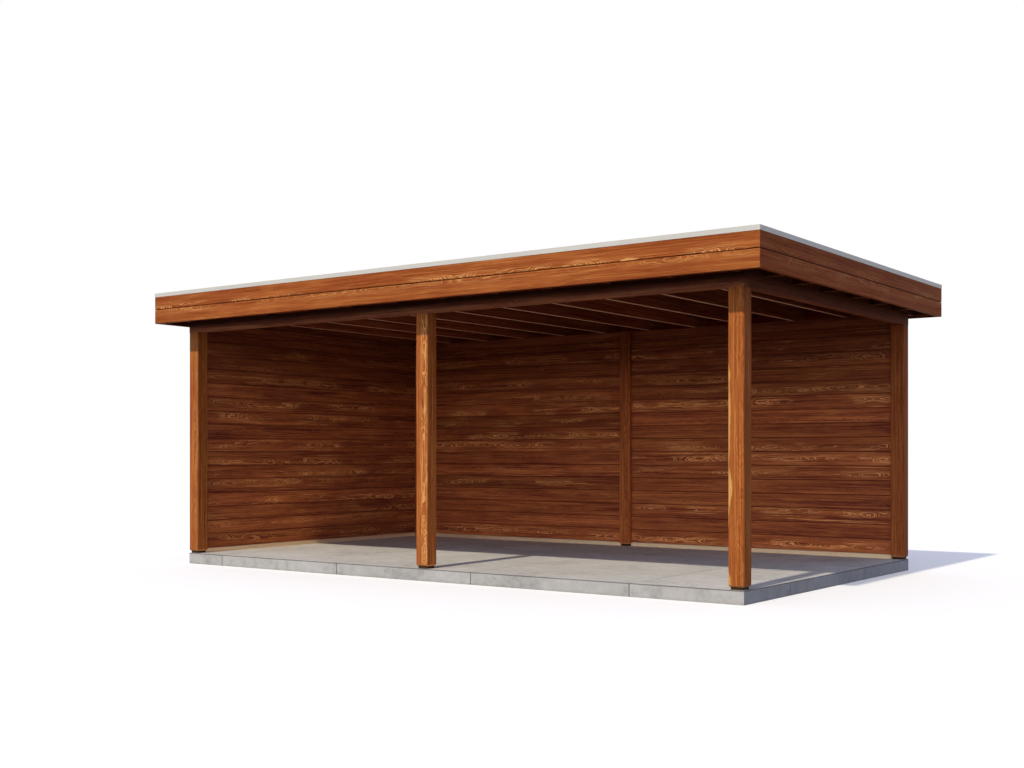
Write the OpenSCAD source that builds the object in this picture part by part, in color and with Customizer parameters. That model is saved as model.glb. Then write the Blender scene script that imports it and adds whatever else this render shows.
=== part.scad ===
// Open timber veranda: a flat roof on six posts, boarded on the left and at the back,
// standing on a plinth of large slabs. Units are millimetres.
// X runs along the open front, Y from the front to the back, Z up.
// The origin is under the middle of the plinth, on the ground.

/* [Overall size] */
// Length over the outer faces of the corner posts
frame_w = 5700; // [4200:10:7200]
// Depth over the outer faces of the corner posts
frame_d = 3280; // [2400:10:4200]
// Height from the plinth to the underside of the ring beams
headroom = 2065; // [1900:5:2600]
// Distance the roof edge stands out past the posts, the same on all four sides
overhang = 221; // [120:1:400]

/* [Plinth] */
// Height of the plinth
plinth_h = 100; // [60:5:200]
// Side of a whole slab
slab_size = 1447; // [900:1:1800]
// Width of the slab column at the left edge
slab_first_x = 456; // [300:1:1400]
// Depth of the slab row at the front edge
slab_first_y = 761; // [300:1:1400]
// Open joint between two slabs
slab_gap = 4; // [2:1:10]
// Bevel round the top of a slab
slab_bevel = 3; // [1:1:6]

/* [Posts] */
// Side of a post's square section
post_size = 120; // [100:5:160]
// Bevel along a post's long edges
post_bevel = 6; // [2:1:10]
// Bevel round a post's lower end
end_bevel = 10; // [4:1:16]
// Height of the foot under a post
foot_h = 20; // [10:1:60]
// Distance the foot is set back from each face of its post
foot_inset = 12; // [11:1:35]

/* [Ring beams] */
// Thickness of a ring beam
beam_t = 70; // [45:5:90]
// Height of a ring beam
beam_h = 100; // [80:5:160]
// Room between a beam and the post head that stands behind it
head_clear = 1; // [0.5:0.5:3]

/* [Roof] */
// Thickness of a joist
joist_t = 45; // [35:5:70]
// Height of a joist
joist_h = 145; // [120:5:200]
// Largest distance between the middles of two joists
joist_spacing = 520; // [400:10:580]
// Thickness of the boards laid over the joists
deck_t = 18; // [16:1:25]
// Largest visible width of one of those boards
deck_cover = 136; // [90:1:160]
// Depth of the V where two boards meet
deck_vee = 3; // [1:0.5:4]
// Thickness of the sheet that covers the roof
sheet_t = 2; // [1:0.5:4]

/* [Fascia] */
// Thickness of a fascia board
fascia_t = 28; // [22:1:40]
// Height a fascia board covers
fascia_cover = 131; // [110:1:160]
// Distance the fascia hangs below the joists
fascia_drop = 20; // [0:1:40]
// Bevel along a fascia board's visible edges
fascia_bevel = 3; // [1:1:6]
// Height of the lap between the lower and the upper board
fascia_lap = 10; // [6:1:16]
// Open joint between the two boards
fascia_gap = 3; // [2:1:6]

/* [Roof trim] */
// Thickness of the metal
trim_t = 2; // [1.5:0.5:4]
// Height of the trim's face
trim_face = 35; // [25:1:60]
// Part of the face that covers the fascia
trim_cover = 14; // [8:1:20]
// Width of the leg that lies on the fascia
trim_leg = 50; // [35:1:70]
// Width of the lip along the top of the face
trim_lip = 12; // [6:1:20]

/* [Walls] */
// Thickness of a wall board
wall_t = 28; // [20:1:36]
// Height a wall board covers
wall_cover = 130; // [100:1:160]
// Part of the boards' thickness that stands under the ring beam; the rest is on the room side
wall_lap = 18; // [10:1:28]
// Depth of the V where two wall boards meet
wall_vee = 4; // [2:0.5:6]
// Depth of the groove in a post that houses the boards' ends
housing = 12; // [8:1:20]
// Room round the boards' ends in that groove
housing_clear = 1; // [0.5:0.5:3]
// Height of the rail under the boards
rail_h = 40; // [25:1:80]
// Distance the rail stands proud of each face of the boards
rail_proud = 10; // [4:1:14]

/* [Hidden] */
// Pieces that cut reach this far past what they cut
cut = 1;
// Levels
floor_z = plinth_h;
rail_top = floor_z + rail_h;
beam_z = floor_z + headroom;
joist_z = beam_z + beam_h;
deck_z = joist_z + joist_h;
sheet_z = deck_z + deck_t;
fascia_z = joist_z - fascia_drop;
fascia_top = fascia_z + 2 * fascia_cover;
// Plan sizes of the roof over the fascia and inside it
roof_w = frame_w + 2 * overhang;
roof_d = frame_d + 2 * overhang;
deck_w = roof_w - 2 * fascia_t;
deck_d = roof_d - 2 * fascia_t;
// Middles of the posts
post_x = (frame_w - post_size) / 2;
post_y = (frame_d - post_size) / 2;
// Distance from the posts' outer faces to the middle of the boards
wall_line = beam_t - wall_lap + wall_t / 2;
wall_x = frame_w / 2 - wall_line;
wall_y = frame_d / 2 - wall_line;
// Clear distances between posts
bay_w = post_x - post_size;
bay_d = 2 * post_y - post_size;
// The two back bays' middles are at this distance from the middle of the frame
bay_x = post_x / 2;
rail_t = wall_t + 2 * rail_proud;
// Joists stand over the middles of the side beams and are spread evenly between them
joist_span = frame_w - beam_t;
joist_n = ceil(joist_span / joist_spacing) + 1;
joist_pitch = joist_span / (joist_n - 1);
// Lookouts run from the outer joists to the side fascias
lookout_x = (joist_span + joist_t) / 2;
lookout_len = deck_w / 2 - lookout_x;
lookout_span = deck_d - joist_t;
lookout_n = ceil(lookout_span / joist_spacing) + 1;
lookout_pitch = lookout_span / (lookout_n - 1);
// Roof boards, all of one width
deck_n = ceil(deck_d / deck_cover);
deck_pitch = deck_d / deck_n;
// Slab edges, measured from the left and from the front
slab_x = slab_edges(slab_first_x, frame_w);
slab_y = slab_edges(slab_first_y, frame_d);

// Edges of a row of slabs: a first slab, whole ones, and what is left
function slab_edges(first, total) =
    concat([0], [for (e = [first : slab_size : total - first / 2]) e], [total]);

// Sides of the roof, counted anticlockwise from above
FRONT = 0;
RIGHT = 1;
BACK = 2;
LEFT = 3;

// ---------- plinth ----------

// A slab whose top edges are bevelled, with its lower corner at the origin
module slab(w, d) {
    intersection() {
        translate([0, d, 0]) rotate([90, 0, 0])
            linear_extrude(height = d) slab_outline(w);
        rotate([90, 0, 90])
            linear_extrude(height = w) slab_outline(d);
    }
}

// Upright outline of a slab of this width
module slab_outline(w) {
    polygon([
        [0, 0], [w, 0],
        [w, plinth_h - slab_bevel], [w - slab_bevel, plinth_h],
        [slab_bevel, plinth_h], [0, plinth_h - slab_bevel]
    ]);
}

// One row of slabs along X; rows are counted from the front
module slab_row(row) {
    last_x = len(slab_x) - 2;
    last_y = len(slab_y) - 2;
    y0 = slab_y[row] + (row == 0 ? 0 : slab_gap / 2);
    y1 = slab_y[row + 1] - (row == last_y ? 0 : slab_gap / 2);
    color([0.66, 0.65, 0.62])
        for (i = [0 : last_x]) {
            x0 = slab_x[i] + (i == 0 ? 0 : slab_gap / 2);
            x1 = slab_x[i + 1] - (i == last_x ? 0 : slab_gap / 2);
            translate([x0 - frame_w / 2, y0 - frame_d / 2, 0]) slab(x1 - x0, y1 - y0);
        }
}

module slabs_front() slab_row(0);
module slabs_middle() for (row = [1 : len(slab_y) - 3]) slab_row(row);
module slabs_back() slab_row(len(slab_y) - 2);

// ---------- posts and feet ----------

// A square with its corners cut off
module bevelled_square(side, bevel) {
    h = side / 2;
    polygon([
        [h - bevel, -h], [h, bevel - h], [h, h - bevel], [h - bevel, h],
        [bevel - h, h], [-h, h - bevel], [-h, bevel - h], [bevel - h, -h]
    ]);
}

// An upright of square section, bevelled along its edges and round its lower end
module post_blank(h) {
    intersection() {
        linear_extrude(height = h)
            bevelled_square(post_size, post_bevel);
        rotate([90, 0, 0])
            linear_extrude(height = post_size, center = true)
                post_outline(h);
        rotate([90, 0, 90])
            linear_extrude(height = post_size, center = true)
                post_outline(h);
    }
}

// Upright outline of a post of this height, the same from the front and from the side
module post_outline(h) {
    half = post_size / 2;
    polygon([
        [end_bevel - half, 0], [half - end_bevel, 0], [half, end_bevel],
        [half, h], [-half, h], [-half, end_bevel]
    ]);
}

// A post: grooved for the boards of any wall that meets it, and cut back at the head so that
// the ring beams sit on its shoulder with the rest of the head standing up behind them
module post(x, y) {
    color([0.45, 0.23, 0.11])
        difference() {
            translate([x, y, floor_z + foot_h])
                post_blank(joist_z - head_clear - floor_z - foot_h);
            translate([0, 0, floor_z])
                linear_extrude(height = headroom)
                    walls_plan(housing_clear);
            translate([0, 0, beam_z])
                linear_extrude(height = beam_h + cut)
                    difference() {
                        square([frame_w + 2 * cut, frame_d + 2 * cut], center = true);
                        square([frame_w, frame_d] - 2 * (beam_t + head_clear) * [1, 1], center = true);
                    }
        }
}

module foot(x, y) {
    side = post_size - 2 * foot_inset;
    color([0.12, 0.12, 0.13])
        translate([x, y, floor_z])
            linear_extrude(height = foot_h)
                bevelled_square(side, post_bevel);
}

module post_front_left() post(-post_x, -post_y);
module post_front_middle() post(0, -post_y);
module post_front_right() post(post_x, -post_y);
module post_back_left() post(-post_x, post_y);
module post_back_middle() post(0, post_y);
module post_back_right() post(post_x, post_y);

module foot_front_left() foot(-post_x, -post_y);
module foot_front_middle() foot(0, -post_y);
module foot_front_right() foot(post_x, -post_y);
module foot_back_left() foot(-post_x, post_y);
module foot_back_middle() foot(0, post_y);
module foot_back_right() foot(post_x, post_y);

// ---------- walls ----------

// Boards of one wall stacked on its rail, with a V on both faces where two of them meet.
// The wall runs along X about the origin and ends in the posts' grooves.
module wall(bay) {
    h = beam_z - rail_top;
    joints = [for (z = [wall_cover : wall_cover : h - 2 * wall_vee]) z];
    half = wall_t / 2;
    room_side = [for (z = joints) each [
        [-half, z - wall_vee], [wall_vee - half, z], [-half, z + wall_vee]
    ]];
    far_side = [for (i = [len(joints) - 1 : -1 : 0]) each [
        [half, joints[i] + wall_vee], [half - wall_vee, joints[i]], [half, joints[i] - wall_vee]
    ]];
    color([0.42, 0.21, 0.10])
        translate([0, 0, rail_top])
            rotate([90, 0, 90])
                linear_extrude(height = bay + 2 * housing, center = true)
                    polygon(concat([[-half, 0]], room_side, [[-half, h], [half, h]], far_side, [[half, 0]]));
}

// Plan of all walls, grown by the room round their ends
module walls_plan(room) {
    for (side = [-1, 1])
        translate([side * bay_x, wall_y])
            square([bay_w + 2 * (housing + room), wall_t + 2 * room], center = true);
    translate([-wall_x, 0])
        square([wall_t + 2 * room, bay_d + 2 * (housing + room)], center = true);
}

// Rail under one wall, between two posts, with its upper edges bevelled
module rail(bay) {
    half = rail_t / 2;
    slope = rail_proud / 2;
    color([0.80, 0.68, 0.52])
        translate([0, 0, floor_z])
            rotate([90, 0, 90])
                linear_extrude(height = bay, center = true)
                    polygon([
                        [-half, 0], [half, 0], [half, rail_h - slope], [half - slope, rail_h],
                        [slope - half, rail_h], [-half, rail_h - slope]
                    ]);
}

module at_left() translate([-wall_x, 0, 0]) rotate([0, 0, 90]) children();
module at_back(side) translate([side * bay_x, wall_y, 0]) children();

module wall_left() at_left() wall(bay_d);
module wall_back_left() at_back(-1) wall(bay_w);
module wall_back_right() at_back(1) wall(bay_w);
module rail_left() at_left() rail(bay_d);
module rail_back_left() at_back(-1) rail(bay_w);
module rail_back_right() at_back(1) rail(bay_w);

// ---------- ring beams ----------

// The front and back beams run the full length; the side beams fit between them
module beam(side) {
    long = side == FRONT || side == BACK;
    length = long ? frame_w : frame_d - 2 * beam_t;
    out = (long ? frame_d : frame_w) / 2;
    color([0.40, 0.20, 0.10])
        rotate([0, 0, 90 * side])
            translate([-length / 2, -out, beam_z])
                cube([length, beam_t, beam_h]);
}

module beam_front() beam(FRONT);
module beam_right() beam(RIGHT);
module beam_back() beam(BACK);
module beam_left() beam(LEFT);

// ---------- roof structure ----------

module joists() {
    color([0.43, 0.22, 0.11])
        for (i = [0 : joist_n - 1])
            translate([i * joist_pitch - (joist_span + joist_t) / 2, -deck_d / 2, joist_z])
                cube([joist_t, deck_d, joist_h]);
}

// Short timbers that carry a side overhang; side is -1 on the left and 1 on the right
module lookouts(side) {
    x = side > 0 ? lookout_x : -deck_w / 2;
    color([0.43, 0.22, 0.11])
        for (i = [0 : lookout_n - 1])
            translate([x, i * lookout_pitch - deck_d / 2, joist_z])
                cube([lookout_len, joist_t, joist_h]);
}

module lookouts_left() lookouts(-1);
module lookouts_right() lookouts(1);

// Boards laid tight along X over the joists, with a V in the ceiling where two of them meet
module roof_boards() {
    vees = [for (i = [1 : deck_n - 1]) each [
        [i * deck_pitch - deck_vee, 0], [i * deck_pitch, deck_vee], [i * deck_pitch + deck_vee, 0]
    ]];
    color([0.47, 0.25, 0.13])
        translate([0, -deck_d / 2, deck_z])
            rotate([90, 0, 90])
                linear_extrude(height = deck_w, center = true)
                    polygon(concat([[0, 0]], vees, [[deck_d, 0], [deck_d, deck_t], [0, deck_t]]));
}

// Sheet that covers the boards and turns up behind the fascia to the trim
module roof_sheet() {
    color([0.10, 0.10, 0.11])
        translate([0, 0, sheet_z])
            difference() {
                rise = fascia_top - sheet_z;
                linear_extrude(height = rise)
                    square([deck_w, deck_d], center = true);
                translate([0, 0, sheet_t])
                    linear_extrude(height = rise)
                        square([deck_w, deck_d] - 2 * sheet_t * [1, 1], center = true);
            }
}

// ---------- fascia and trim ----------

// Runs an upright profile along one side of the roof and mitres both ends.
// The profile's first axis points inwards from the fascia's outer face; reach is its extent.
module mitred_run(side, reach) {
    long = side == FRONT || side == BACK;
    length = long ? roof_w : roof_d;
    out = (long ? roof_d : roof_w) / 2;
    half = length / 2;
    rotate([0, 0, 90 * side])
        translate([0, -out, 0])
            intersection() {
                rotate([90, 0, 90])
                    linear_extrude(height = length + 2 * reach, center = true)
                        children();
                translate([0, 0, fascia_z - cut])
                    linear_extrude(height = fascia_top + trim_face - fascia_z + 2 * cut)
                        polygon([
                            [-half - reach, -reach], [half + reach, -reach],
                            [half - reach, reach], [reach - half, reach]
                        ]);
            }
}

// The lower board carries a tongue along the back of its top edge
module fascia_lower(side) {
    top = fascia_z + fascia_cover - fascia_gap;
    color([0.55, 0.27, 0.12])
        mitred_run(side, fascia_t)
            polygon([
                [fascia_t, fascia_z], [fascia_bevel, fascia_z], [0, fascia_z + fascia_bevel],
                [0, top - fascia_bevel], [fascia_bevel, top], [fascia_t / 2, top],
                [fascia_t / 2, top + fascia_lap], [fascia_t, top + fascia_lap]
            ]);
}

// The upper board is rebated to hang over that tongue
module fascia_upper(side) {
    low = fascia_z + fascia_cover;
    step = fascia_t / 2 - fascia_gap / 2;
    color([0.57, 0.29, 0.13])
        mitred_run(side, fascia_t)
            polygon([
                [fascia_t, low + fascia_lap], [step, low + fascia_lap], [step, low],
                [fascia_bevel, low], [0, low + fascia_bevel],
                [0, fascia_top], [fascia_t, fascia_top]
            ]);
}

// Metal edge: a face over the fascia's top, a leg lying on the fascia, and a lip along the top
module trim(side) {
    low = fascia_top - trim_cover;
    top = low + trim_face;
    color([0.72, 0.73, 0.74])
        mitred_run(side, trim_leg)
            polygon([
                [-trim_t, low], [0, low], [0, fascia_top], [trim_leg, fascia_top],
                [trim_leg, fascia_top + trim_t], [0, fascia_top + trim_t],
                [0, top - trim_t], [trim_lip, top - trim_t], [trim_lip, top], [-trim_t, top]
            ]);
}

module fascia_front_lower() fascia_lower(FRONT);
module fascia_front_upper() fascia_upper(FRONT);
module fascia_right_lower() fascia_lower(RIGHT);
module fascia_right_upper() fascia_upper(RIGHT);
module fascia_back_lower() fascia_lower(BACK);
module fascia_back_upper() fascia_upper(BACK);
module fascia_left_lower() fascia_lower(LEFT);
module fascia_left_upper() fascia_upper(LEFT);
module trim_front() trim(FRONT);
module trim_right() trim(RIGHT);
module trim_back() trim(BACK);
module trim_left() trim(LEFT);

// ---------- nodes ----------

slabs_front();
slabs_middle();
slabs_back();
post_front_left();
post_front_middle();
post_front_right();
post_back_left();
post_back_middle();
post_back_right();
foot_front_left();
foot_front_middle();
foot_front_right();
foot_back_left();
foot_back_middle();
foot_back_right();
wall_left();
wall_back_left();
wall_back_right();
rail_left();
rail_back_left();
rail_back_right();
beam_front();
beam_right();
beam_back();
beam_left();
joists();
lookouts_left();
lookouts_right();
roof_boards();
roof_sheet();
fascia_front_lower();
fascia_front_upper();
fascia_right_lower();
fascia_right_upper();
fascia_back_lower();
fascia_back_upper();
fascia_left_lower();
fascia_left_upper();
trim_front();
trim_right();
trim_back();
trim_left();
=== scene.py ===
import math

import bpy
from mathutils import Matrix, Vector


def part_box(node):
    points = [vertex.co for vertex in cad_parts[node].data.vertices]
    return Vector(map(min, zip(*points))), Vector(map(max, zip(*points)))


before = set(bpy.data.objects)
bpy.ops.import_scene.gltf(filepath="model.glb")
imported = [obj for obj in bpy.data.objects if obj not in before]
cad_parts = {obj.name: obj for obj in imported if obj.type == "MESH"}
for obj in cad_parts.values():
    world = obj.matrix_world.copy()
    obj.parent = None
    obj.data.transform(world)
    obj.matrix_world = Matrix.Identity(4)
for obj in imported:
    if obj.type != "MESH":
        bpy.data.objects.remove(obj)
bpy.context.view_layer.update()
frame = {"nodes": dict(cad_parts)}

X, Y, Z = 0, 1, 2


# ---------- sizes, in metres ----------

def lowest(node):
    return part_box(node)[0]


def highest(node):
    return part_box(node)[1]


def centre(node):
    return (lowest(node) + highest(node)) / 2


def extent(node):
    return highest(node) - lowest(node)


PLINTH_LO, PLINTH_HI = lowest("slabs_front"), highest("slabs_back")
FLOOR_Z = PLINTH_HI[Z]
SLAB = 1.447
SLAB_JOINT_X = PLINTH_LO[X] + 0.456
SLAB_JOINT_Y = PLINTH_LO[Y] + 0.761

WALL_BOARD = 0.130
ROOF_BOARDS = 27
JOISTS = 12
JOIST_T = 0.045
JOIST_FIRST = lowest("joists")[X] + JOIST_T / 2
JOIST_PITCH = (extent("joists")[X] - JOIST_T) / (JOISTS - 1)
LOOKOUT_CELL = 0.2585  # half their spacing, so that each lookout lies within one cell

# A node that is a row of boards or timbers: the row's axis, where it starts, and its pitch
WALL_ROW = (Z, highest("rail_left")[Z], WALL_BOARD)
ROOF_ROW = (Y, lowest("roof_boards")[Y], extent("roof_boards")[Y] / ROOF_BOARDS)
JOIST_ROW = (X, JOIST_FIRST - JOIST_PITCH / 2, JOIST_PITCH)
LOOKOUT_ROW = (Y, -10.0, LOOKOUT_CELL)

FRAME_ARRIS = 0.003
SLAB_ARRIS = 0.002


# ---------- materials written as arithmetic on node sockets ----------

class Val:
    """A socket that can be added, multiplied and so on; each step makes one Math node."""

    def __init__(self, nodes, socket):
        self.nodes, self.socket = nodes, socket

    def __add__(self, other):
        return self.nodes.compute("ADD", self, other)

    def __sub__(self, other):
        return self.nodes.compute("SUBTRACT", self, other)

    def __rsub__(self, other):
        return self.nodes.compute("SUBTRACT", other, self)

    def __neg__(self):
        return 0.0 - self

    def __mul__(self, other):
        return self.nodes.compute("MULTIPLY", self, other)

    def __truediv__(self, other):
        return self.nodes.compute("DIVIDE", self, other)

    def __abs__(self):
        return self.nodes.compute("ABSOLUTE", self)


class Nodes:
    """A node tree, with a method for each kind of node used here. It starts empty."""

    def __init__(self, tree):
        self.tree = tree
        self.tree.nodes.clear()

    def node(self, kind, **settings):
        made = self.tree.nodes.new(kind)
        for key, value in settings.items():
            setattr(made, key, value)
        return made

    def link(self, output, socket):
        self.tree.links.new(output, socket)

    def feed(self, socket, value):
        if isinstance(value, Val):
            self.link(value.socket, socket)
        else:
            socket.default_value = value

    def compute(self, operation, *values):
        made = self.node("ShaderNodeMath", operation=operation)
        for socket, value in zip(made.inputs, values):
            self.feed(socket, value)
        return Val(self, made.outputs[0])

    def distance(self, a, b):
        """From the origin to (a, b)."""
        return self.compute("SQRT", a * a + b * b)

    def coordinates(self, kind):
        """The three parts of a texture coordinate."""
        made = self.node("ShaderNodeTexCoord")
        parts = self.node("ShaderNodeSeparateXYZ")
        self.link(made.outputs[kind], parts.inputs[0])
        return [Val(self, socket) for socket in parts.outputs]

    def vector(self, x, y, z):
        made = self.node("ShaderNodeCombineXYZ")
        for socket, value in zip(made.inputs, (x, y, z)):
            self.feed(socket, value)
        return Val(self, made.outputs[0])

    def noise_node(self, dimensions, socket, value, detail, roughness):
        made = self.node("ShaderNodeTexNoise", noise_dimensions=dimensions)
        self.feed(made.inputs[socket], value)
        made.inputs["Scale"].default_value = 1.0
        made.inputs["Detail"].default_value = detail
        made.inputs["Roughness"].default_value = roughness
        return Val(self, made.outputs[0])

    def noise(self, vector, detail=2.0, roughness=0.5):
        """Noise in space, one cell to a unit."""
        return self.noise_node("3D", "Vector", vector, detail, roughness)

    def noise_along(self, w):
        """Noise along a line, one cell to a unit."""
        return self.noise_node("1D", "W", w, 1.0, 0.5)

    def wander(self, w, reach):
        """A value that strays along a line, by half of reach to either side of 0."""
        return (self.noise_along(w) - 0.5) * reach

    def spots(self, vector):
        """Distance to the nearest of points scattered one to a cell, and a random number for it."""
        made = self.node("ShaderNodeTexVoronoi", voronoi_dimensions="3D", feature="F1")
        self.feed(made.inputs["Vector"], vector)
        made.inputs["Scale"].default_value = 1.0
        parts = self.node("ShaderNodeSeparateColor")
        self.link(made.outputs["Color"], parts.inputs[0])
        return Val(self, made.outputs["Distance"]), Val(self, parts.outputs[0])

    def random(self, vector):
        """Four random numbers for a vector."""
        made = self.node("ShaderNodeTexWhiteNoise", noise_dimensions="3D")
        self.feed(made.inputs["Vector"], vector)
        parts = self.node("ShaderNodeSeparateColor")
        self.link(made.outputs["Color"], parts.inputs[0])
        return [Val(self, socket) for socket in (*parts.outputs, made.outputs["Value"])]

    def ramp(self, value, stops):
        """Eases from one colour to the next; each stop is a value and its colour."""
        made = self.node("ShaderNodeValToRGB")
        ramp = made.color_ramp
        ramp.interpolation = "EASE"
        while len(ramp.elements) < len(stops):
            ramp.elements.new(0.5)
        for element, (place, colour) in zip(ramp.elements, stops):
            element.position = place
            element.color = (*colour, 1)
        self.feed(made.inputs[0], value)
        return Val(self, made.outputs[0])

    def rise(self, value, low, high):
        """0 below low, 1 above high, smooth between them."""
        made = self.node("ShaderNodeMapRange", interpolation_type="SMOOTHSTEP")
        self.feed(made.inputs["Value"], value)
        made.inputs["From Min"].default_value = low
        made.inputs["From Max"].default_value = high
        return Val(self, made.outputs[0])

    def fall(self, value, low, high):
        """1 below low, 0 above high, smooth between them."""
        return 1.0 - self.rise(value, low, high)

    def mix(self, factor, first, second, blend="MIX"):
        """The first colour where factor is 0, the second where it is 1."""
        made = self.node("ShaderNodeMix", data_type="RGBA", blend_type=blend)
        self.feed(made.inputs[0], factor)
        # A Mix node keeps its colours on inputs 6 and 7 and output 2
        for socket, value in ((made.inputs[6], first), (made.inputs[7], second)):
            self.feed(socket, value if isinstance(value, Val) else (*value, 1))
        return Val(self, made.outputs[2])

    def scaled(self, colour, number):
        """The colour times a number."""
        made = self.node("ShaderNodeCombineColor")
        for socket in made.inputs:
            self.feed(socket, number)
        return self.mix(1.0, colour, Val(self, made.outputs[0]), "MULTIPLY")

    def mix_shaders(self, factor, first, second):
        made = self.node("ShaderNodeMixShader")
        self.feed(made.inputs[0], factor)
        self.link(first, made.inputs[1])
        self.link(second, made.inputs[2])
        return made.outputs[0]

    def looking(self):
        """1 for a ray that looks, straight or in a reflection, and 0 for one that gathers light."""
        path = self.node("ShaderNodeLightPath")
        seen = Val(self, path.outputs["Is Camera Ray"])
        for name in ("Is Glossy Ray", "Is Transmission Ray"):
            seen = self.compute("MAXIMUM", seen, Val(self, path.outputs[name]))
        return seen


class Surface(Nodes):
    """One material's nodes, ending in a Principled shader."""

    def __init__(self, name):
        self.material = bpy.data.materials.new(name)
        self.material.use_nodes = True
        super().__init__(self.material.node_tree)
        self.shader = self.node("ShaderNodeBsdfPrincipled")
        self.output = self.node("ShaderNodeOutputMaterial")
        self.link(self.shader.outputs["BSDF"], self.output.inputs["Surface"])

    def position(self):
        return self.coordinates("Object")

    def bump(self, height, strength, distance):
        made = self.node("ShaderNodeBump")
        made.inputs["Strength"].default_value = strength
        made.inputs["Distance"].default_value = distance
        self.feed(made.inputs["Height"], height)
        self.link(made.outputs["Normal"], self.shader.inputs["Normal"])

    def finish(self, colour, roughness, metallic=0.0, specular=0.5):
        self.feed(self.shader.inputs["Base Color"], colour)
        self.feed(self.shader.inputs["Roughness"], roughness)
        self.shader.inputs["Metallic"].default_value = metallic
        self.shader.inputs["Specular IOR Level"].default_value = specular
        return self.material


def dress(node, material):
    """Gives a CAD node its material."""
    mesh = frame["nodes"][node].data
    mesh.materials.clear()
    mesh.materials.append(material)


def soften(node, width):
    """Rounds a CAD node's sharp edges a little, as a modifier."""
    shape = frame["nodes"][node]
    weld = shape.modifiers.new("weld", "WELD")
    weld.merge_threshold = 0.00005
    bevel = shape.modifiers.new("bevel", "BEVEL")
    bevel.width = width
    bevel.segments = 2
    bevel.limit_method = "ANGLE"
    bevel.angle_limit = math.radians(30)
    bevel.harden_normals = True


# ---------- stained softwood ----------

# Each stain: dark streaks, plain wood, honey patches, and the pale wood at the arches' tips
FRAME_STAIN = ((0.25, 0.051, 0.013), (0.44, 0.124, 0.028), (0.62, 0.226, 0.052), (0.95, 0.50, 0.16))
WALL_STAIN = ((0.17, 0.033, 0.020), (0.45, 0.118, 0.038), (0.70, 0.217, 0.062), (1.00, 0.42, 0.13))
FASCIA_STAIN = (
    (0.24, 0.047, 0.010), (0.395, 0.103, 0.025), (0.55, 0.186, 0.044), (0.86, 0.43, 0.14))
# The ceiling's stain is darker than the frame's, as painted shade under the roof
CEILING_STAIN = (
    (0.16, 0.033, 0.017), (0.30, 0.080, 0.033), (0.44, 0.137, 0.054), (0.60, 0.23, 0.09))
PALE_WOOD = (0.92, 0.57, 0.37)
SAPWOOD = (0.92, 0.46, 0.13)

# How much pale figure a node shows, and its brightness, where they aren't those of its kind
# Some brightnesses are painted light or shade: wall_back_right is brighter, as painted light from
# the open right side; beam_right is darker, as painted shade; beam_front is brighter, as painted
# light on its lower face under the painted shade at its top
LOOKS = {
    "post_front_left": (0.15, 0.93),
    "post_front_middle": (0.55, 1.15),
    "post_back_middle": (0.0, 1.22),
    "wall_left": (0.85, 1.0),
    "wall_back_right": (1.0, 1.12),
    "beam_front": (0.3, 1.4),
    "beam_right": (0.3, 0.8),
}
SAPWOOD_POST = "post_front_right"

# Heights between which the wood gets darker, as painted shade: up the walls, the back middle post
# and the front beam, under the ceiling and the roof's edge, and down the left wall near the floor
CEILING_SHADE = (1.75, 2.10)
BEAM_SHADE = (2.18, 2.25)
FLOOR_SHADE = (0.35, 0.80)

# The pale strip under a joist: how far its middle lies aside, and where its edge fades out
STRIP_ASIDE = 0.007
STRIP_EDGE = (0.013, 0.015)


def times(colour, factor):
    return tuple(c * factor for c in colour)


def tinted(stain, factors):
    return tuple(tuple(c * f for c, f in zip(colour, factors)) for colour in stain)


def level_axis(node):
    size = extent(node)
    return X if size[X] > size[Y] else Y


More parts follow.
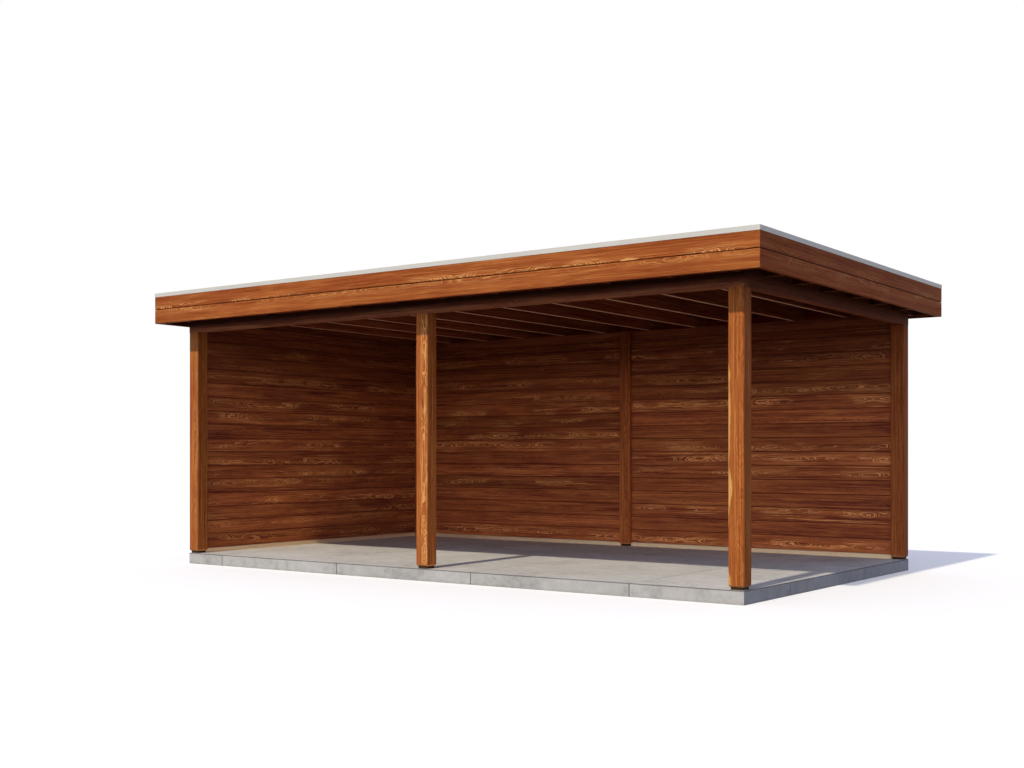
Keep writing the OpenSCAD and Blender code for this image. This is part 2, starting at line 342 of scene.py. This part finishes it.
class Wood(Surface):
    """Sawn timber whose growth rings run round a wandering pith line."""

    def __init__(self, node, along, stain, tree, heart, row=None, aside=0.0, stray=1.0):
        """along is the axis of the grain, and tree the number of the tree it comes from.
        heart is how far the pith lies behind the wide faces, aside how far beside their
        middle, and stray how far it strays from there. In a row, each board has its own tree."""
        super().__init__(node + "_wood")
        self.stain, self.row, self.stray = stain, row, stray
        self.place, self.middle, self.size = self.position(), centre(node), extent(node)
        number = tree
        if row is not None:
            axis, start, pitch = row
            self.count = self.compute("FLOOR", (self.place[axis] - start) / pitch)
            number = self.count + tree * 50.0
        r1, r2, r3, self.tone = self.random(self.vector(number, tree * 0.37, 1.0))
        self.r2, self.r3 = r2, r3
        # u runs along the grain, a across the wide faces and b through the timber
        across = [axis for axis in (X, Y, Z) if axis != along]
        across.sort(key=lambda axis: -round(self.size[axis], 4))
        self.local = {axis: self.from_middle(axis) for axis in across}
        self.a, self.b = (self.local[axis] for axis in across)
        self.u = self.place[along] + r1 * 37.0 + tree * 3.0
        sideways = (r2 - 0.5) * 0.07 + self.wander(self.u * 0.7, 0.05)
        self.to_pith = self.a - aside - sideways * stray
        depth = self.b + heart - self.wander(self.u * 0.9 + 71.0, 0.08)
        depth = depth - self.wander(self.u * 4.0 + 13.0, 0.040)
        self.swirl = self.drawn(6.0, 30.0, r3 * 9.0)
        self.radius = self.distance(self.to_pith, depth) + (self.swirl - 0.5) * 0.018
        self.rings = self.noise_along(self.radius * 210.0 + r1 * 50.0)
        self.fine = self.noise_along(self.radius * 520.0 + r2 * 50.0)
        self.fibre = self.drawn(9.0, 330.0, roughness=0.6)
        self.streak = self.drawn(1.5, 105.0, r2 * 5.0, detail=3.0, roughness=0.7)
        self.band = self.drawn(0.6, 20.0, r1 * 7.0)
        self.cloud = self.drawn(2.2, 12.0, r3 * 7.0)

    def from_middle(self, axis):
        """How far a point lies from the middle of the timber, or of its board in a row."""
        if self.row is None or axis != self.row[0]:
            return self.place[axis] - self.middle[axis]
        _, start, pitch = self.row
        return self.place[axis] - start - (self.count + 0.5) * pitch

    def drawn(self, along, across, shift=0.0, detail=2.0, roughness=0.5):
        """Noise drawn out along the grain, of so many cells to the metre along and across it."""
        spot = self.vector(self.u * along, self.a * across, self.b * across + shift)
        return self.noise(spot, detail, roughness)

    def grain(self, sharp, broad):
        """Dark, plain and honey wood, in streaks and clouds. sharp is the streaks' contrast,
        and broad how much the wide bands and clouds show."""
        dark, plain, honey, _ = self.stain
        grain = (self.band - 0.5) * (0.20 * broad) + self.streak * 0.40
        grain = grain + self.rings * 0.10 + self.fine * 0.06 + self.fibre * 0.18 + 0.13
        grain = (grain - 0.5) * sharp + 0.5
        colour = self.ramp(grain, ((0.41, dark), (0.50, plain), (0.59, honey)))
        light, deep = self.rise(self.cloud, 0.50, 0.72), self.rise(1.0 - self.cloud, 0.52, 0.72)
        colour = self.mix(light * (0.35 * broad), colour, honey)
        return self.mix(deep * (0.30 * broad), colour, dark)

    def figure(self):
        """Where pale wood may show: arches and loops where the face lies along the rings,
        and dashes, which show elsewhere too the more the pith strays."""
        flat = self.fall(abs(self.to_pith), 0.020, 0.050)
        arch = self.rings * 0.55 + self.fibre * 0.35 + self.streak * 0.20
        arch = self.rise(arch, 0.58, 0.68) * (flat * 0.8 + 0.2)
        loop = self.rise(self.noise_along(self.radius * 310.0 + self.r3 * 30.0), 0.53, 0.60) * flat
        loop = loop * (self.rise(self.fibre, 0.32, 0.62) * 0.45 + 0.75)
        dash = self.rise(self.streak * 0.7 + self.fibre * 0.3, 0.57, 0.61)
        dash = dash * (flat * (1.0 - self.stray) + self.stray)
        arch = arch * (0.1 + 0.2 * self.stray)
        return self.compute("MAXIMUM", arch, self.compute("MAXIMUM", loop, dash))

    def stained(self, figure, shade=1.0, sharp=1.0, broad=1.0, where=None, rare=0.45):
        """The wood's colour. figure is how much of the pale wood shows, where is 1 on the part
        that may show it, and rare how rare its patches are. Without where, it depends on the
        tree. shade is the brightness."""
        if where is None:
            where = self.rise(self.r3, 0.15, 0.60)
        patch = self.rise(self.drawn(1.8, 9.0, self.r2 * 11.0), rare, rare + 0.13)
        pale = self.figure() * where * patch * figure
        colour = self.mix(pale, self.grain(sharp, broad), self.stain[-1])
        spread = 0.42 if self.row else 0.10
        colour = self.scaled(colour, (self.tone * spread + 1.0 - spread / 2) * shade)
        return self.seams(colour) if self.row else colour

    def seams(self, colour):
        """Darker along the edges of each board."""
        axis, _, pitch = self.row
        seam = self.rise(abs(self.local[axis]), pitch / 2 - 0.006, pitch / 2 - 0.003)
        return self.darken(colour, seam * (self.rise(self.streak, 0.35, 0.60) * 0.5 + 0.2), 0.4)

    def darken(self, colour, amount, depth=0.3):
        """Towards the stain's dark, times depth."""
        return self.mix(amount, colour, times(self.stain[0], depth))

    def done(self, colour):
        self.bump(self.rings * 0.6 + self.fibre * 0.4, 0.30, 0.0012)
        return self.finish(colour, self.rings * 0.16 + 0.52, specular=0.03)


def post(node, tree):
    """A post sawn beside the pith, with its pale figure on the front face only, a painted highlight
    along its bottom edge, and painted shade on the back posts.
    """
    figure, shade = LOOKS.get(node, (0.0, 1.0))
    # Painted shade: the back posts, in the roof's shade, get a redder, bluer copy of the stain
    stain = tinted(FRAME_STAIN, (1.0, 0.94, 1.08)) if "back" in node else FRAME_STAIN
    if node == SAPWOOD_POST:
        tree = tree + 20.0  # one whose grain looks like that post's
    g = Wood(node, Z, stain, tree, heart=0.0, aside=0.025, stray=0.4)
    front = g.rise(-g.local[Y], g.size[Y] / 2 - 0.005, g.size[Y] / 2 - 0.003)
    colour = g.stained(figure, shade, sharp=1.1, broad=0.3, where=front, rare=0.36)
    if node == "post_back_middle":
        # Painted shade: darker under the ceiling
        colour = g.darken(colour, g.rise(g.place[Z], *CEILING_SHADE) * 0.50)
    foot = g.middle[Z] - g.size[Z] / 2
    # Painted highlight: pale wood along the bottom edge, where its rounded end catches light
    hem = g.fall(g.place[Z], foot + 0.009, foot + 0.013)
    colour = g.mix(hem * 0.6, colour, stain[-1])
    if node == SAPWOOD_POST:
        colour = sapwood(g, colour)
    soften(node, FRAME_ARRIS)
    return g.done(colour)


def sapwood(g, colour):
    """A ragged pale line up the front left corner, which ends near the top."""
    corner = g.distance(g.local[X] + g.size[X] / 2, g.local[Y] + g.size[Y] / 2)
    corner = corner - g.wander(g.u * 2.3, 0.070) + g.rise(g.place[Z], 1.70, 1.90) * 0.03
    corner = corner + (g.swirl - 0.5) * 0.03 + (g.streak - 0.5) * 0.03
    line = g.fall(corner, 0.008, 0.015)
    return g.mix(line * (g.rise(g.fibre, 0.3, 0.6) * 0.4 + 0.5), colour, SAPWOOD)


def wall(node, tree):
    """Boards with painted shade: darker under the ceiling, and on the left also near the floor."""
    figure, shade = LOOKS.get(node, (1.0, 1.0))
    g = Wood(node, level_axis(node), WALL_STAIN, tree, heart=0.045, row=WALL_ROW)
    colour = g.stained(figure, shade)
    # Painted shade: darker under the ceiling
    colour = g.darken(colour, g.rise(g.place[Z], *CEILING_SHADE) * 0.50)
    if node == "wall_left":
        # Painted shade: the left wall darker near the floor
        colour = g.darken(colour, g.fall(g.place[Z], *FLOOR_SHADE) * 0.20)
    return g.done(colour)


def fascia(node, tree):
    """An upper or a lower board, dark along the edge where the two meet. Away from the front it
    gets painted shade.
    """
    front, upper = "front" in node, node.endswith("upper")
    # Painted shade: the side and back fascias get a darker copy of the stain and less pale figure
    stain = FASCIA_STAIN if front else tinted(FASCIA_STAIN, (0.86, 0.80, 0.90))
    aside = -0.055 if upper else 0.055
    g = Wood(node, level_axis(node), stain, tree, heart=0.050, aside=aside, stray=0.25)
    colour = g.stained(figure=1.0 if front else 0.45)
    edge = (g.place[Z] - g.middle[Z]) * (-1.0 if upper else 1.0) + (g.streak - 0.5) * 0.020
    edge = g.rise(edge, g.size[Z] / 2 - 0.008, g.size[Z] / 2 - 0.004)
    return g.done(g.darken(colour, edge * 0.80))


def beam(node, tree):
    """A ring beam; the front one has painted light on its lower face and painted shade upwards,
    under the roof's edge, and the right one painted shade.
    """
    figure, shade = LOOKS.get(node, (0.3, 1.0))
    front = node == "beam_front"
    # Painted light: the front beam gets a lighter, less red copy of the stain
    stain = tinted(CEILING_STAIN, (1.0, 1.2, 1.2)) if front else CEILING_STAIN
    g = Wood(node, level_axis(node), stain, tree, heart=0.020)
    colour = g.stained(figure, shade)
    if front:
        # Painted shade: darker upwards under the roof's edge
        colour = g.darken(colour, g.rise(g.place[Z], *BEAM_SHADE) * 0.80, 0.2)
    soften(node, FRAME_ARRIS)
    return g.done(colour)


def joists(node, tree):
    """Joists with a pale strip along the underside, between the ring beams."""
    g = Wood(node, Y, CEILING_STAIN, tree, heart=0.020, row=JOIST_ROW)
    colour = g.stained(figure=0.3)
    under, front, back = lowest(node)[Z], highest("beam_front")[Y], lowest("beam_back")[Y]
    strip = g.fall(g.place[Z], under, under + 0.002) * g.rise(g.place[Y], front, front + 0.001)
    strip = strip * g.fall(g.place[Y], back, back + 0.001)
    strip = strip * g.fall(abs(g.local[X] + STRIP_ASIDE), *STRIP_EDGE)
    soften(node, FRAME_ARRIS)
    return g.done(g.mix(strip, colour, g.mix(g.streak, PALE_WOOD, times(PALE_WOOD, 0.8))))


def lookouts(node, tree):
    """Short timbers out to the fascia, darkened as painted shade under the overhang."""
    g = Wood(node, X, CEILING_STAIN, tree, heart=0.020, row=LOOKOUT_ROW)
    soften(node, FRAME_ARRIS)
    # Painted shade: darkened under the overhang
    return g.done(g.stained(figure=0.0, shade=0.55))


def roof_boards(node, tree):
    """The boards over the joists, seen from below between them, darkened as painted shade."""
    g = Wood(node, X, CEILING_STAIN, tree, heart=0.045, row=ROOF_ROW)
    # Painted shade: darkened under the roof
    return g.done(g.stained(figure=0.3, shade=0.8))


def dress_wood():
    """Each wooden node gets a material of its own, from a tree of its own."""
    makers = {"post_": post, "wall_": wall, "fascia_": fascia, "beam_": beam, "joists": joists,
              "lookouts_": lookouts, "roof_boards": roof_boards}
    for tree, node in enumerate(frame["nodes"], 1):
        for start, maker in makers.items():
            if node.startswith(start):
                dress(node, maker(node, float(tree)))


# ---------- the other materials ----------

def pale_rail():
    """Light timber under the wall boards, with a satin sheen."""
    g = Surface("rail_wood")
    x, y, z = g.position()
    fibre = g.noise(g.vector(x * 8.0, y * 8.0, z * 220.0), 3.0)
    cloud = g.noise(g.vector(x * 1.3, y * 1.3, z * 9.0), 2.0)
    colour = g.ramp(fibre * 0.6 + cloud * 0.4, (
        (0.30, (0.92, 0.62, 0.37)), (0.52, (1.00, 0.77, 0.48)), (0.72, (1.00, 0.87, 0.60))))
    g.bump(fibre, 0.25, 0.001)
    return g.finish(colour, fibre * 0.2 + 0.35, metallic=0.62)


def concrete():
    """Cast slabs: each of its own tone, with pores, clouds and dirt along the joints, and painted
    shade on the end faces.
    """
    g = Surface("slab_concrete")
    x, y, z = g.position()
    column = g.compute("FLOOR", (x - SLAB_JOINT_X) / SLAB)
    row = g.compute("FLOOR", (y - SLAB_JOINT_Y) / SLAB)
    r1, _, _, tone = g.random(g.vector(column, row, 3.0))
    shift = r1 * 19.0
    cloud = g.noise(g.vector(x * 1.6 + shift, y * 1.6, z * 3.0), 4.0, 0.6)
    mottle = g.noise(g.vector(x * 14.0, y * 14.0 + shift, z * 14.0), 4.0, 0.65)
    grit = g.noise(g.vector(x * 160.0, y * 160.0, z * 160.0), 2.0, 0.6)
    colour = g.ramp(cloud * 0.45 + mottle * 0.35 + grit * 0.20, (
        (0.34, (0.395, 0.375, 0.335)), (0.50, (0.58, 0.555, 0.50)), (0.66, (0.72, 0.70, 0.64))))
    colour = g.scaled(colour, tone * 0.08 + 0.95)
    to_joint_x = g.compute("PINGPONG", x - SLAB_JOINT_X, SLAB / 2)
    to_joint_y = g.compute("PINGPONG", y - SLAB_JOINT_Y, SLAB / 2)
    to_side_x, to_side_y = PLINTH_HI[X] - abs(x), PLINTH_HI[Y] - abs(y)
    to_joint = g.compute("MINIMUM", to_joint_x, to_joint_y)
    to_side = g.compute("MINIMUM", to_side_x, to_side_y)
    joint = g.fall(to_joint + mottle * 0.004, 0.005, 0.009)
    arris = g.fall(to_side, 0.003, 0.006) * g.rise(z, FLOOR_Z - 0.010, FLOOR_Z - 0.006)
    edges = g.compute("MAXIMUM", joint * 0.45, arris * 0.75)
    colour = g.mix(edges, colour, (0.10, 0.095, 0.09))
    pore_far, pore_id = g.spots(g.vector(x * 55.0, y * 55.0, z * 55.0))
    pore = g.fall(pore_far, 0.06, 0.16) * g.rise(pore_id, 0.80, 0.82)
    colour = g.mix(pore * 0.5, colour, (0.16, 0.15, 0.14))
    foot = g.fall(z + mottle * 0.02, 0.004, 0.035)
    colour = g.mix(foot * 0.35, colour, (0.27, 0.25, 0.22))
    # Painted shade: both end faces of the plinth darker
    end_face_shade = g.fall(to_side_x, 0.0005, 0.002)
    colour = g.mix(end_face_shade * 0.14, colour, (0.22, 0.21, 0.19))
    g.bump(mottle * 0.35 + grit * 0.35 - pore, 0.5, 0.002)
    return g.finish(colour, mottle * 0.15 + 0.75, specular=0.08)


def trim_metal():
    """Satin aluminium, drawn along its length."""
    g = Surface("trim_aluminium")
    x, y, z = g.position()
    line = g.noise(g.vector(x * 1.5, y * 1.5, z * 700.0), 2.0)
    cloud = g.noise(g.vector(x * 2.0, y * 2.0, z * 2.0), 3.0)
    colour = g.ramp(line * 0.5 + cloud * 0.5, (
        (0.30, (0.65, 0.62, 0.535)), (0.70, (0.74, 0.71, 0.615))))
    g.bump(line, 0.05, 0.0004)
    return g.finish(colour, cloud * 0.16 + 0.40, metallic=0.06, specular=0.3)


def foot_rubber():
    """Dark rubber with dust from the floor on its lowest edge."""
    g = Surface("foot_rubber")
    x, y, z = g.position()
    speck = g.noise(g.vector(x * 90.0, y * 90.0, z * 90.0), 3.0)
    dust = g.fall(z + speck * 0.008, FLOOR_Z + 0.003, FLOOR_Z + 0.014)
    colour = g.ramp(speck, ((0.3, (0.034, 0.014, 0.006)), (0.7, (0.070, 0.032, 0.016))))
    colour = g.mix(dust * 0.3, colour, (0.14, 0.10, 0.07))
    g.bump(speck, 0.3, 0.001)
    return g.finish(colour, speck * 0.2 + 0.6, specular=0.1)


def roof_rubber():
    """Black sheet with dust where rain has dried."""
    g = Surface("roof_rubber")
    x, y, z = g.position()
    cloud = g.noise(g.vector(x * 1.1, y * 1.1, z), 5.0, 0.6)
    grain = g.noise(g.vector(x * 60.0, y * 60.0, z * 60.0), 3.0)
    wave = g.noise(g.vector(x * 1.7, y * 4.0, z), 2.0)
    colour = g.ramp(cloud, ((0.38, (0.024, 0.024, 0.026)), (0.62, (0.060, 0.058, 0.055))))
    dust = g.rise(grain * 0.4 + cloud * 0.6, 0.50, 0.70)
    colour = g.mix(dust * 0.35, colour, (0.15, 0.14, 0.125))
    g.bump(wave * 0.85 + grain * 0.15, 0.4, 0.012)
    return g.finish(colour, grain * 0.2 + 0.55)


def dress_rest():
    """Nodes of one kind share a material."""
    materials = {"slabs_": concrete(), "rail_": pale_rail(), "trim_": trim_metal(),
                 "foot_": foot_rubber(), "roof_sheet": roof_rubber()}
    for node in frame["nodes"]:
        for start, material in materials.items():
            if node.startswith(start):
                dress(node, material)
        if node.startswith("slabs_"):
            soften(node, SLAB_ARRIS)


# ---------- floor, light and camera ----------

def floor():
    """Plain white to look at, with the object's shadow near it and none farther off.
    It throws little light back up."""
    half = 60.0
    near, far = 5.0, 9.0
    thrown_back, looked_at = (0.03, 0.03, 0.03), (0.83, 0.815, 0.775)
    corners = [(-half, -half, 0), (half, -half, 0), (half, half, 0), (-half, half, 0)]
    mesh = bpy.data.meshes.new("ground")
    mesh.from_pydata(corners, [], [(0, 1, 2, 3)])
    ground = bpy.data.objects.new("ground", mesh)
    bpy.context.scene.collection.objects.link(ground)
    g = Surface("ground_pale")
    seen = g.looking()
    g.finish(g.mix(seen, thrown_back, looked_at), 0.9, specular=0.0)
    lift, white = g.node("ShaderNodeEmission"), g.node("ShaderNodeEmission")
    g.feed(lift.inputs["Strength"], seen * 0.22)
    shadowed = g.node("ShaderNodeAddShader")
    g.link(g.shader.outputs[0], shadowed.inputs[0])
    g.link(lift.outputs[0], shadowed.inputs[1])
    x, y, _ = g.position()
    away = g.rise(g.distance(x, y), near, far) * seen
    blend = g.mix_shaders(away, shadowed.outputs[0], white.outputs[0])
    g.link(blend, g.output.inputs["Surface"])
    mesh.materials.append(g.material)


def sky():
    """Bluish light from all round, stronger from low in front and a little from the left.
    It is plain white where it is looked at."""
    around, in_front = (0.86, 0.98, 1.50), (0.98, 1.0, 1.12)
    world = bpy.data.worlds.new("studio")
    bpy.context.scene.world = world
    world.use_nodes = True
    g = Nodes(world.node_tree)
    across, back, up = g.coordinates("Generated")
    ahead = -back
    facing = g.compute("MAXIMUM", ahead / (g.distance(across, ahead) + 0.001), 0.0)
    front = facing * facing * g.rise(up, 0.0, 0.12) * g.fall(up, 0.42, 0.62)
    lit, white = g.node("ShaderNodeBackground"), g.node("ShaderNodeBackground")
    g.feed(lit.inputs["Color"], g.mix(front, around, in_front))
    g.feed(lit.inputs["Strength"], front * 0.85 + 0.45 - across * 0.09)
    g.feed(white.inputs["Color"], (1, 1, 1, 1))
    output = g.node("ShaderNodeOutputWorld")
    blend = g.mix_shaders(g.looking(), lit.outputs[0], white.outputs[0])
    g.link(blend, output.inputs["Surface"])


def key_light():
    """A sun straight in front, as high as the shadows under the roof show."""
    lamp = bpy.data.lights.new("key", "SUN")
    lamp.energy = 2.45
    lamp.angle = math.radians(1.5)
    lamp.color = (1.0, 0.92, 0.77)
    key = bpy.data.objects.new("key", lamp)
    towards = Vector((0.05, -1.0, 1.172))
    key.rotation_mode = "QUATERNION"
    key.rotation_quaternion = towards.to_track_quat("Z", "Y")
    bpy.context.scene.collection.objects.link(key)


def camera():
    """A level camera to the right of the front, its view shifted up."""
    data = bpy.data.cameras.new("camera")
    data.sensor_width = 36.0
    data.lens = 44.93
    data.shift_y = 0.06855
    data.clip_end = 200.0
    eye = bpy.data.objects.new("camera", data)
    eye.location = (6.685, -9.552, 1.0256)
    eye.rotation_euler = (math.radians(90.0), 0.0, math.radians(36.148))
    bpy.context.scene.collection.objects.link(eye)
    bpy.context.scene.camera = eye


dress_wood()
dress_rest()
floor()
sky()
key_light()
camera()
bpy.context.scene.view_settings.view_transform = "Standard"
